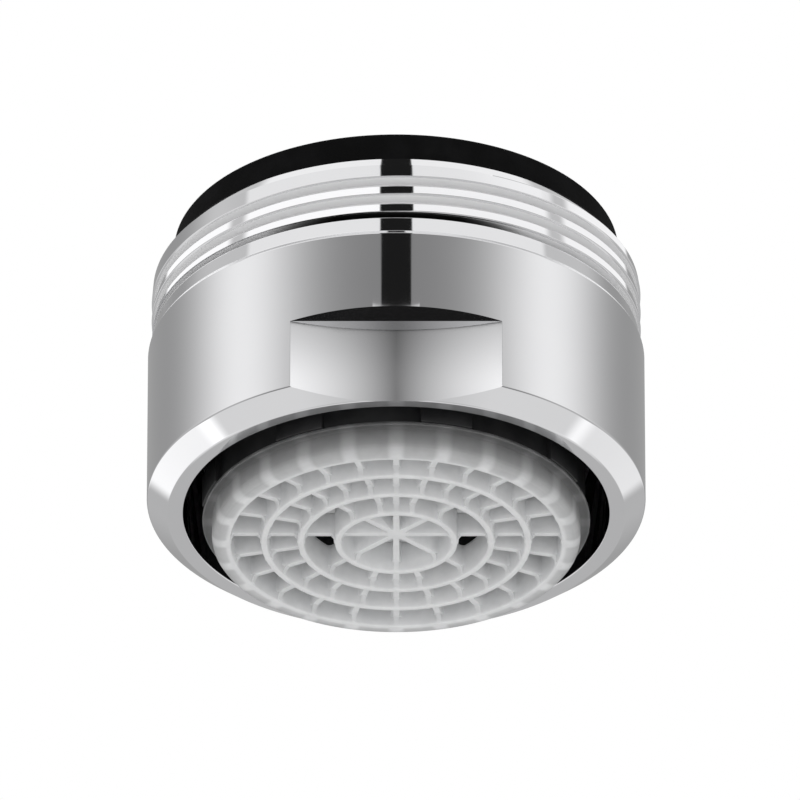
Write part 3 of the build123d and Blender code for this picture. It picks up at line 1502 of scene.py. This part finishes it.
@dataclass
class Studio:
    """Light, floor and camera of the shot."""

    camera_place: tuple[float, float, float] = (0.0, -0.6893, -0.41464)
    camera_rise: float = 30.50
    lens: float = 737.7
    sensor: float = 36.0
    shift_right: float = 0.00475
    floor_z: float = -1.1
    floor_half: float = 3.0
    backdrop: float = 1.0
    soft_light: float = 0.88
    soft_least: float = 0.52
    soft_gain: float = 0.62
    soft_ramp: Ramp = (-0.65, 0.65)
    card_reach: float = 35.0
    card_half: float = 5.5
    card_low: float = -1.5
    card_high: float = 3.57
    card_arch: float = 0.5
    card_dim_from: float = -0.5
    card_dim_to: float = 4.2
    card_middle: float = 0.205
    card_gain: float = 0.88
    card_top_share: float = 0.60
    ledge_card_reach: float = 300.0
    ledge_card_half: float = 7.3
    ledge_card_low: float = -79.5
    ledge_card_high: float = -71.5
    ledge_share: float = 0.63
    room: MirroredRoom = MirroredRoom()

    def light_world(self) -> None:
        """Builds the light: a white backdrop, soft light for matt surfaces and a mirrored room."""
        world = bpy.data.worlds.new("studio")
        world.use_nodes = True
        bpy.context.scene.world = world
        shader = Shader(world.node_tree)
        path = shader.node("ShaderNodeLightPath")
        mirrored = self.room.light(shader)
        light = mirrored.towards(self.soft_box(shader), shader.value(path, "Is Diffuse Ray"))
        light = light.towards(self.backdrop, shader.value(path, "Is Camera Ray"))
        background = shader.node("ShaderNodeBackground", None, {"Color": light, "Strength": 1.0})
        shader.node("ShaderNodeOutputWorld", None, {"Surface": background.outputs[0]})

    def soft_box(self, shader: Shader) -> Value:
        """Soft light that falls on matt surfaces, stronger from the front."""
        _, _, y, _ = shader.coordinates("Generated")
        return self.soft_light * (self.soft_least + self.soft_gain * (-y).rise(*self.soft_ramp))

    def place_floor(self) -> None:
        """Lays the pale floor far below."""
        bm = bmesh.new()
        bmesh.ops.create_grid(
            bm,
            x_segments=1,
            y_segments=1,
            size=self.floor_half,
            matrix=Matrix.Translation((0.0, 0.0, self.floor_z)),
        )
        floor = add_piece("pale_floor", bm)
        floor.data.materials.append(GlowFinish("pale_floor", self.backdrop).make())
        hide_from(floor, "diffuse", "glossy", "transmission", "shadow")

    def place_cards(self) -> None:
        """Hangs small shaded cards that only each wrench flat and its ledge mirror."""
        flat_glow = GlowFinish(
            "flat_card",
            self.card_middle,
            self.card_gain,
            self.card_half,
            self.card_dim_from,
            self.card_dim_to,
            self.card_top_share,
        ).make()
        share = self.ledge_share
        ledge_glow = GlowFinish(
            "ledge_card", self.card_middle * share, self.card_gain * share, self.ledge_card_half
        ).make()
        flat_sizes = (self.card_half, self.card_low, self.card_high, self.card_arch)
        ledge_sizes = (self.ledge_card_half, self.ledge_card_low, self.ledge_card_high, 0.0)
        for name, side in (("front", -1.0), ("back", 1.0)):
            self._hang(f"{name}_flat_card", side * self.card_reach, flat_sizes, flat_glow)
            self._hang(f"{name}_ledge_card", side * self.ledge_card_reach, ledge_sizes, ledge_glow)

    @staticmethod
    def _hang(name: str, reach: float, sizes: Sequence[float], glow: Material) -> None:
        """Hangs one card.

        Args:
            name: The card's name.
            reach: Its place along y.
            sizes: Half its width, the heights of its lower edge and of its upper edge's ends, and
                how much lower the upper edge is in the middle.
            glow: Its light.
        """
        half, low, high, arch = sizes
        bm = bmesh.new()
        bmesh.ops.create_grid(bm, x_segments=CARD_STEPS, y_segments=1, size=1.0)
        for vert in bm.verts:
            drop = arch * (1.0 - vert.co.x * vert.co.x) if vert.co.y > 0.0 else 0.0
            height = (high if vert.co.y > 0.0 else low) - drop
            vert.co = (vert.co.x * half * MM, reach * MM, height * MM)
        card = add_piece(name, bm)
        card.data.materials.append(glow)
        hide_from(card, "camera", "diffuse", "transmission", "shadow")

    def place_camera(self) -> None:
        """Sets the camera where the photograph was taken from."""
        data = bpy.data.cameras.new("camera")
        data.lens = self.lens
        data.sensor_width = self.sensor
        data.shift_x = self.shift_right
        camera = bpy.data.objects.new("camera", data)
        camera.location = self.camera_place
        camera.rotation_euler = (math.radians(90.0 + self.camera_rise), 0.0, 0.0)
        bpy.context.scene.collection.objects.link(camera)
        bpy.context.scene.camera = camera

    def build(self) -> None:
        """Sets up the whole studio."""
        bpy.context.scene.view_settings.view_transform = "Standard"
        self.light_world()
        self.place_floor()
        self.place_cards()
        self.place_camera()


def main() -> None:
    """Builds and dresses every sub-assembly, then the studio."""
    logging.basicConfig(level=logging.INFO, format="%(message)s")
    Housing().build(ChromeFinish().make())
    SealingWasher().build(WASHER_LOOK.make())
    OutletGrille().build(SiliconeFinish().make())
    Cartridge().build(BLACK_LOOK.make(), WHITE_LOOK.make(), ELASTIC_LOOK.make())
    Studio().build()


if __name__ == "__main__":
    main()
